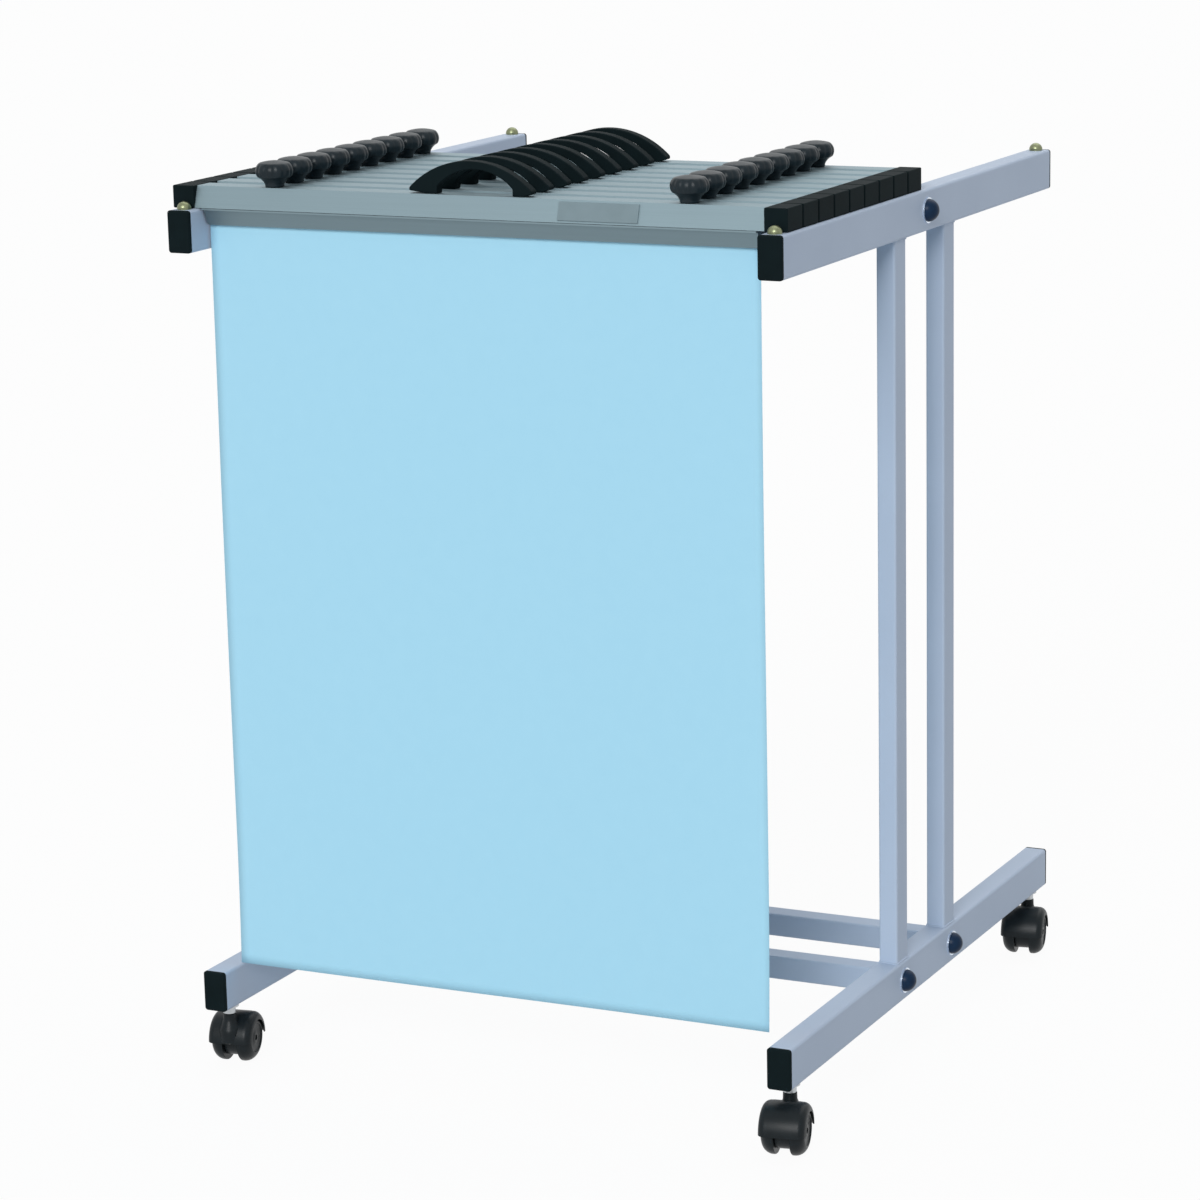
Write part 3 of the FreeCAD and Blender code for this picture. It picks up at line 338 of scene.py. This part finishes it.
# Glass-filled nylon off a polished mould: a soft, slightly streaky sheen.
nylon, tree = new_material("black_nylon")
place = add_node(tree, "ShaderNodeTexCoord", {})
flow = add_node(tree, "ShaderNodeTexNoise", {"Vector": place.outputs["Object"], "Scale": 120.0, "Detail": 3.0})
tone = add_node(tree, "ShaderNodeMix", {0: flow.outputs[0], 6: srgb("#0E1417"), 7: srgb("#161E22")},
                data_type="RGBA")
gloss = add_node(tree, "ShaderNodeMapRange", {0: flow.outputs[0], 3: 0.30, 4: 0.42})
plastic = add_node(tree, "ShaderNodeBsdfPrincipled",
                   {"Base Color": tone.outputs[2], "Roughness": gloss.outputs[0], "IOR": 1.53,
                    "Specular IOR Level": 0.16})
add_node(tree, "ShaderNodeOutputMaterial", {"Surface": plastic.outputs[0]})


def arc(first, through, last, steps):
    """Points along the circle through three points, from the first to the last."""
    (ax, ay), (bx, by), (cx, cy) = first, through, last
    twice = 2 * (ax * (by - cy) + bx * (cy - ay) + cx * (ay - by))
    a, b, c = ax * ax + ay * ay, bx * bx + by * by, cx * cx + cy * cy
    mx = (a * (by - cy) + b * (cy - ay) + c * (ay - by)) / twice
    my = (a * (cx - bx) + b * (ax - cx) + c * (bx - ax)) / twice
    radius = math.hypot(ax - mx, ay - my)
    begin, pass_by, finish = (math.atan2(y - my, x - mx) for x, y in (first, through, last))
    whole = (finish - begin) % math.tau
    if (pass_by - begin) % math.tau > whole:
        whole -= math.tau
    turns = [begin + whole * step / steps for step in range(steps + 1)]
    return [(mx + radius * math.cos(turn), my + radius * math.sin(turn)) for turn in turns]


def revolved(shape, profile, at, axis, sweep, steps):
    """Turn a closed profile of (along, radius) points about an axis through a point."""
    whole = sweep == 360
    rings = []
    for step in range(steps if whole else steps + 1):
        turn = math.radians(sweep * step / steps)
        out, over = math.cos(turn), math.sin(turn)
        if axis == "X":
            ring = [(at[0] + run, at[1] + radius * out, at[2] + radius * over) for run, radius in profile]
        else:
            ring = [(at[0] + radius * out, at[1] + radius * over, at[2] + run) for run, radius in profile]
        rings.append([shape.verts.new(point) for point in ring])
    for ring, following in zip(rings, rings[1:] + rings[:1] if whole else rings[1:]):
        for here in range(len(profile)):
            there = (here + 1) % len(profile)
            shape.faces.new((ring[here], ring[there], following[there], following[here]))
    if not whole:
        shape.faces.new(rings[0])
        shape.faces.new(rings[-1])


# The wheels have broad rounded shoulders and a shallow dish in each face; the hood follows
# them from the axle over the top, and the boss of the swivel stands on a foot between them.
# Lengths are from the middle of the castor outwards, radii from the axle or from the swivel.
trail = 0.018
axle_height = 0.025
axle_radius, axle_half = 0.0030, 0.0200
web_half, web_radius, web_bore = 0.0074, 0.0190, 0.0034
foot_half = 0.0072
wheel_room = 0.0262
hood_edge = [(0.0236, 0.0192)] + arc((0.0234, 0.0205), (0.0212, 0.0252), (0.0150, 0.0275), 10) + [(0.0130, 0.0277)]
hood_under = [(0.0132, 0.0259)] + arc((0.0142, 0.0258), (0.0195, 0.0236), (0.0221, 0.0201), 8) + [(0.0223, 0.0192)]
hood = hood_edge + [(-x, r) for x, r in reversed(hood_edge)] + [(-x, r) for x, r in reversed(hood_under)] + hood_under
under_hood = [(-web_half, 0.0185), (-web_half, 0.0270), (web_half, 0.0270), (web_half, 0.0185)]
web = [(-web_half, web_bore), (-web_half, web_radius), (web_half, web_radius), (web_half, web_bore)]
axle = [(-axle_half, 0), (-axle_half, axle_radius), (axle_half, axle_radius), (axle_half, 0)]
wheel = ([(0.0080, 0.0030), (0.0080, 0.0243), (0.0086, 0.0249)]
         + arc((0.0100, 0.0250), (0.0178, 0.0226), (0.0218, 0.0168), 12)
         + [(0.0220, 0.0160), (0.0219, 0.0152), (0.0209, 0.0144), (0.0206, 0.0070), (0.0210, 0.0062),
            (0.0210, 0.0030)])
on_axle = (0, trail, axle_height)
for name, bearing in (("castor_front_left", 10), ("castor_front_right", 190),
                      ("castor_rear_left", 10), ("castor_rear_right", 190)):
    wheels_low, wheels_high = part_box(f"{name}_wheels")
    boss_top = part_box(f"{name}_housing")[1].z
    turn = Matrix.Rotation(math.radians(bearing), 4, "Z")
    swivel = (wheels_low + wheels_high) / 2 - turn @ Vector((0, trail, 0))
    place = Matrix.Translation((swivel.x, swivel.y, 0)) @ turn
    boss = ([(0.0255, 0), (0.0255, 0.0105), (0.0265, 0.0118), (0.0360, 0.0120)]
            + [(z, r) for r, z in arc((0.0116, 0.0400), (0.0088, 0.0458), (0.0072, 0.0500), 8)]
            + [(boss_top - 0.0005, 0.0070), (boss_top - 0.0001, 0.0066), (boss_top - 0.0001, 0.0044),
               (boss_top - 0.0148, 0.0044), (boss_top - 0.0148, 0)])
    for part, slot in (("housing", "castor_nylon"), ("wheels", "castor_tread")):
        shape = bmesh.new()
        if part == "housing":
            revolved(shape, boss, (0, 0, 0), "Z", 360, 40)
            for point in shape.verts:
                if math.hypot(point.co.y - trail, point.co.z - axle_height) < wheel_room:
                    point.co.x = max(-foot_half, min(foot_half, point.co.x))
            revolved(shape, hood, on_axle, "X", 180, 48)
            revolved(shape, under_hood, on_axle, "X", 180, 48)
            revolved(shape, web, on_axle, "X", 360, 64)
        else:
            for half in (-1, 1):
                revolved(shape, [(half * x, r) for x, r in wheel], on_axle, "X", 360, 64)
            revolved(shape, axle, on_axle, "X", 360, 24)
        bmesh.ops.remove_doubles(shape, verts=shape.verts, dist=0.000001)
        bmesh.ops.recalc_face_normals(shape, faces=shape.faces)
        shape.transform(place)
        moulded = bpy.data.meshes.new(f"{name}_round_{part}")
        shape.to_mesh(moulded)
        shape.free()
        for face in moulded.polygons:
            face.use_smooth = True
        moulded.set_sharp_from_angle(angle=math.radians(38))
        moulded.materials.append(nylon)
        piece = bpy.data.objects.new(f"{name}_round_{part}", moulded)
        scene.collection.objects.link(piece)
        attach(piece, f"{name}_{part}")
        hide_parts(f"{name}_{part}")

# ---------------------------------------------------------------- the clamps
# A clamp is an anodised aluminium extrusion with a jaw strip below it, black moulded end
# blocks that rest on the rails, an arched carrying handle and two clamping knobs.

# Satin anodising over the fine lines that the die leaves along the extrusion, about 1 mm apart.
aluminium, tree = new_material("satin_anodised_aluminium")
place = add_node(tree, "ShaderNodeTexCoord", {})
along = add_node(tree, "ShaderNodeMapping", {"Vector": place.outputs["Object"], "Scale": (6.0, 900.0, 900.0)})
lines = add_node(tree, "ShaderNodeTexNoise", {"Vector": along.outputs[0], "Scale": 1.0, "Detail": 3.0})
tone = add_node(tree, "ShaderNodeMix", {0: lines.outputs[0], 6: srgb("#76888F"), 7: srgb("#84969D")},
                data_type="RGBA")
gloss = add_node(tree, "ShaderNodeMapRange", {0: lines.outputs[0], 3: 0.50, 4: 0.64})
skin = add_node(tree, "ShaderNodeBump", {"Height": lines.outputs[0], "Strength": 0.08, "Distance": 0.0001})
metal = add_node(tree, "ShaderNodeBsdfPrincipled",
                 {"Base Color": tone.outputs[2], "Metallic": 1.0, "Roughness": gloss.outputs[0],
                  "Normal": skin.outputs[0]})
add_node(tree, "ShaderNodeOutputMaterial", {"Surface": metal.outputs[0]})

# The knobs are polished a little more than the other mouldings.
knob_plastic, tree = new_material("satin_black_plastic")
place = add_node(tree, "ShaderNodeTexCoord", {})
drift = add_node(tree, "ShaderNodeTexNoise", {"Vector": place.outputs["Object"], "Scale": 90.0, "Detail": 2.0})
tone = add_node(tree, "ShaderNodeMix", {0: drift.outputs[0], 6: srgb("#0E181D"), 7: srgb("#17252C")},
                data_type="RGBA")
gloss = add_node(tree, "ShaderNodeMapRange", {0: drift.outputs[0], 3: 0.32, 4: 0.44})
plastic = add_node(tree, "ShaderNodeBsdfPrincipled",
                   {"Base Color": tone.outputs[2], "Roughness": gloss.outputs[0], "IOR": 1.49,
                    "Specular IOR Level": 0.22})
add_node(tree, "ShaderNodeOutputMaterial", {"Surface": plastic.outputs[0]})
clamps = [f"clamp_{number:02d}" for number in range(1, 10)]
for clamp in clamps:
    give(aluminium, f"{clamp}_bar")
give(aluminium, "clamp_01_jaw")


def solid_from(shape, outline_points, low, high, axis):
    """Extrude a closed outline along one axis into a bmesh."""
    rings = []
    for depth in (low, high):
        rings.append([shape.verts.new((depth, u, v) if axis == "X" else (u, depth, v)) for u, v in outline_points])
    shape.faces.new(rings[0])
    shape.faces.new(rings[1])
    for here in range(len(outline_points)):
        there = (here + 1) % len(outline_points)
        shape.faces.new((rings[0][here], rings[0][there], rings[1][there], rings[1][here]))


# The arched handle stands on two feet, with a longer tip to the left than to the right, and
# an end block closes the bar at each end and rests on the rail. One moulding tool made both.
handle_outline = ([(-0.0525, 0), (-0.0405, 0)]
                  + arc((-0.0405, 0.007), (0, 0.0245), (0.0405, 0.007), 28)
                  + [(0.0405, 0), (0.0525, 0), (0.0610, 0.0025)]
                  + arc((0.0610, 0.0055), (-0.0050, 0.0325), (-0.0710, 0.0055), 44) + [(-0.0710, 0.0025)])
half_handle, block_length, block_proud = 0.006, 0.024, 0.0005
for clamp in clamps:
    fit_low, fit_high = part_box(f"{clamp}_fittings")
    bar_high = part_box(f"{clamp}_bar")[1]
    middle = (fit_low.x + fit_high.x) / 2
    depth_low, depth_high = fit_low.y, fit_high.y
    across = (depth_low + depth_high) / 2
    shape = bmesh.new()
    solid_from(shape, [(middle + x, bar_high.z + z) for x, z in handle_outline],
               across - half_handle, across + half_handle, "Y")
    block_top = bar_high.z + block_proud
    block_side = [(depth_low, rail_top), (depth_high, rail_top), (depth_high, block_top), (depth_low, block_top)]
    for near, far in ((fit_low.x, fit_low.x + block_length), (fit_high.x - block_length, fit_high.x)):
        solid_from(shape, block_side, near, far, "X")
    bmesh.ops.recalc_face_normals(shape, faces=shape.faces)
    moulding = bpy.data.meshes.new(f"{clamp}_moulding")
    shape.to_mesh(moulding)
    shape.free()
    moulding.materials.append(black_plastic)
    for face in moulding.polygons:
        face.use_smooth = True
    piece = bpy.data.objects.new(f"{clamp}_moulding", moulding)
    scene.collection.objects.link(piece)
    rounding = piece.modifiers.new("rounding", "BEVEL")
    rounding.width = 0.0012
    rounding.segments = 2
    rounding.limit_method = "ANGLE"
    rounding.angle_limit = math.radians(40)
    rounding.harden_normals = True
    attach(piece, clamp)
    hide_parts(f"{clamp}_fittings")

# The clamping knobs are mushrooms on a narrow foot, their heads fluted for grip: a profile
# turned about the screw, with twelve shallow flutes that fade out above and below.
fluted, start = new_tree("fluted_knob", [
    ("Steps Around", "NodeSocketInt"), ("Steps Along", "NodeSocketInt"), ("Flutes", "NodeSocketFloat"),
    ("Flute Depth", "NodeSocketFloat"), ("Flute Foot", "NodeSocketFloat"), ("Flute Crown", "NodeSocketFloat"),
    ("Fade", "NodeSocketFloat"), ("Place", "NodeSocketVector"), ("Finish", "NodeSocketMaterial")])
profile = add_node(fluted, "GeometryNodeMeshToCurve", {"Mesh": start.outputs["Geometry"]})
skin = add_node(fluted, "GeometryNodeMeshGrid", {"Size X": math.tau, "Size Y": 1.0,
                                                 "Vertices X": start.outputs["Steps Around"],
                                                 "Vertices Y": start.outputs["Steps Along"]})
where = add_node(fluted, "GeometryNodeInputPosition", {})
where = add_node(fluted, "ShaderNodeSeparateXYZ", {0: where.outputs[0]})
share = add_node(fluted, "ShaderNodeMath", {0: where.outputs[1], 1: 0.5}, operation="ADD")
on_profile = add_node(fluted, "GeometryNodeSampleCurve", {"Curves": profile.outputs[0], "Factor": share.outputs[0]},
                      mode="FACTOR")
on_profile = add_node(fluted, "ShaderNodeSeparateXYZ", {0: on_profile.outputs["Position"]})
radius, height = on_profile.outputs[0], on_profile.outputs[2]
turns = add_node(fluted, "ShaderNodeMath", {0: where.outputs[0], 1: start.outputs["Flutes"]}, operation="MULTIPLY")
wave = add_node(fluted, "ShaderNodeMath", {0: turns.outputs[0]}, operation="COSINE")
wave = add_node(fluted, "ShaderNodeMapRange", {0: wave.outputs[0], 1: -0.2, 2: 1.0, 3: 0.0, 4: 1.0},
                interpolation_type="SMOOTHSTEP")
foot_end = add_node(fluted, "ShaderNodeMath", {0: start.outputs["Flute Foot"], 1: start.outputs["Fade"]},
                    operation="ADD")
rising = add_node(fluted, "ShaderNodeMapRange", {0: height, 1: start.outputs["Flute Foot"], 2: foot_end.outputs[0]},
                  interpolation_type="SMOOTHSTEP")
crown_start = add_node(fluted, "ShaderNodeMath", {0: start.outputs["Flute Crown"], 1: start.outputs["Fade"]},
                       operation="SUBTRACT")
falling = add_node(fluted, "ShaderNodeMapRange", {0: height, 1: crown_start.outputs[0],
                                                  2: start.outputs["Flute Crown"], 3: 1.0, 4: 0.0},
                   interpolation_type="SMOOTHSTEP")
cut = add_node(fluted, "ShaderNodeMath", {0: wave.outputs[0], 1: rising.outputs[0]}, operation="MULTIPLY")
cut = add_node(fluted, "ShaderNodeMath", {0: cut.outputs[0], 1: falling.outputs[0]}, operation="MULTIPLY")
cut = add_node(fluted, "ShaderNodeMath", {0: cut.outputs[0], 1: start.outputs["Flute Depth"]}, operation="MULTIPLY")
radius = add_node(fluted, "ShaderNodeMath", {0: radius, 1: cut.outputs[0]}, operation="SUBTRACT").outputs[0]
cosine = add_node(fluted, "ShaderNodeMath", {0: where.outputs[0]}, operation="COSINE")
sine = add_node(fluted, "ShaderNodeMath", {0: where.outputs[0]}, operation="SINE")
out_x = add_node(fluted, "ShaderNodeMath", {0: radius, 1: cosine.outputs[0]}, operation="MULTIPLY")
out_y = add_node(fluted, "ShaderNodeMath", {0: radius, 1: sine.outputs[0]}, operation="MULTIPLY")
spot = add_node(fluted, "ShaderNodeCombineXYZ", {0: out_x.outputs[0], 1: out_y.outputs[0], 2: height})
spot = add_node(fluted, "ShaderNodeVectorMath", {0: spot.outputs[0], 1: start.outputs["Place"]}, operation="ADD")
head = add_node(fluted, "GeometryNodeSetPosition", {"Geometry": skin.outputs[0], "Position": spot.outputs[0]})
closed = add_node(fluted, "GeometryNodeMergeByDistance", {"Geometry": head.outputs[0], "Distance": 0.00001})
end_tree(fluted, closed.outputs[0], start.outputs["Finish"])

knob_profile = ([(0, 0.0003), (0.0090, 0.0003), (0.0095, 0.0008), (0.0095, 0.0026)]
                + arc((0.0097, 0.0032), (0.0125, 0.0072), (0.0168, 0.0102), 8)
                + arc((0.0171, 0.0105), (0.0187, 0.0165), (0.0150, 0.0235), 16)[1:]
                + arc((0.0146, 0.0238), (0.0080, 0.0253), (0, 0.0260), 10))
shape = bmesh.new()
line = [shape.verts.new((radius, 0, height)) for radius, height in knob_profile]
for first, second in zip(line, line[1:]):
    shape.edges.new((first, second))
knob_line = bpy.data.meshes.new("knob_line")
shape.to_mesh(knob_line)
shape.free()
for clamp in clamps:
    bar_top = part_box(f"{clamp}_bar")[1].z
    for side in ("left", "right"):
        low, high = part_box(f"{clamp}_knob_{side}")
        piece = grow(f"{clamp}_fluted_{side}", fluted, knob_line, {
            "Steps Around": 97, "Steps Along": 52, "Flutes": 12.0, "Flute Depth": 0.0007, "Flute Foot": 0.0085,
            "Flute Crown": 0.0250, "Fade": 0.005,
            "Place": ((low.x + high.x) / 2, (low.y + high.y) / 2, bar_top), "Finish": knob_plastic})
        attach(piece, f"{clamp}_knob_{side}")
        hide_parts(f"{clamp}_knob_{side}")

# The label holder is a strip of clear plastic over a blank slip of card.
clear_strip, tree = new_material("clear_plastic_strip")
place = add_node(tree, "ShaderNodeTexCoord", {})
cloud = add_node(tree, "ShaderNodeTexNoise", {"Vector": place.outputs["Object"], "Scale": 60.0, "Detail": 2.0})
tone = add_node(tree, "ShaderNodeMix", {0: cloud.outputs[0], 6: srgb("#74868C"), 7: srgb("#7E9097")},
                data_type="RGBA")
plastic = add_node(tree, "ShaderNodeBsdfPrincipled",
                   {"Base Color": tone.outputs[2], "Roughness": 0.22, "IOR": 1.49, "Specular IOR Level": 0.3})
add_node(tree, "ShaderNodeOutputMaterial", {"Surface": plastic.outputs[0]})
give(clear_strip, "clamp_01_label_holder")

# ---------------------------------------------------------------- the hanging sheet
# One A1 sheet of light blue paper, gripped by the jaws along its top edge and hanging free.
# It was rolled before, so it keeps two slow waves and its lower fifth curls a little.

sheet_low, sheet_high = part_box("hanging_sheet")
sheet_y = (sheet_low.y + sheet_high.y) / 2
columns, rows = 60, 80
grip, curl_start, curl_depth = 0.016, 0.80, 0.003
free_top = sheet_high.z - grip
shape = bmesh.new()
grid = []
for row in range(rows + 1):
    line = []
    for column in range(columns + 1):
        x = sheet_low.x + (sheet_high.x - sheet_low.x) * column / columns
        z = sheet_high.z + (sheet_low.z - sheet_high.z) * row / rows
        free = max(0, (free_top - z) / (free_top - sheet_low.z))
        wave = math.sin(x * 9.2 + z * 2.1) * 0.00096 + math.sin(x * 4.1 - z * 3.7 + 1.1) * 0.00132
        curl = curl_depth * (max(0, free - curl_start) / (1 - curl_start)) ** 2
        line.append(shape.verts.new((x, sheet_y + (wave - curl) * min(1, free * 3), z)))
    grid.append(line)
for row in range(rows):
    for column in range(columns):
        shape.faces.new((grid[row][column], grid[row + 1][column], grid[row + 1][column + 1], grid[row][column + 1]))
sheet_mesh = bpy.data.meshes.new("paper_sheet")
shape.to_mesh(sheet_mesh)
shape.free()
for face in sheet_mesh.polygons:
    face.use_smooth = True
sheet = bpy.data.objects.new("paper_sheet", sheet_mesh)
scene.collection.objects.link(sheet)
thickness = sheet.modifiers.new("thickness", "SOLIDIFY")
thickness.thickness = 0.0002
thickness.offset = 0

# Uncoated paper dyed light blue: matt, with the cloudy formation of its fibres, drawn at 17 mm,
# a little coarser than it is.
paper, tree = new_material("light_blue_paper")
place = add_node(tree, "ShaderNodeTexCoord", {})
cloud = add_node(tree, "ShaderNodeTexNoise", {"Vector": place.outputs["Object"], "Scale": 60.0, "Detail": 4.0})
fibre = add_node(tree, "ShaderNodeTexNoise", {"Vector": place.outputs["Object"], "Scale": 700.0, "Detail": 2.0})
tone = add_node(tree, "ShaderNodeMix", {0: cloud.outputs[0], 6: srgb("#A2D4EA"), 7: srgb("#A6D7EC")},
                data_type="RGBA")
skin = add_node(tree, "ShaderNodeBump", {"Height": fibre.outputs[0], "Strength": 0.1, "Distance": 0.0001})
matt = add_node(tree, "ShaderNodeBsdfPrincipled",
                {"Base Color": tone.outputs[2], "Roughness": 0.85, "Normal": skin.outputs[0], "IOR": 1.45})
add_node(tree, "ShaderNodeOutputMaterial", {"Surface": matt.outputs[0]})
sheet_mesh.materials.append(paper)
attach(sheet, "clamp_01")
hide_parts("hanging_sheet")
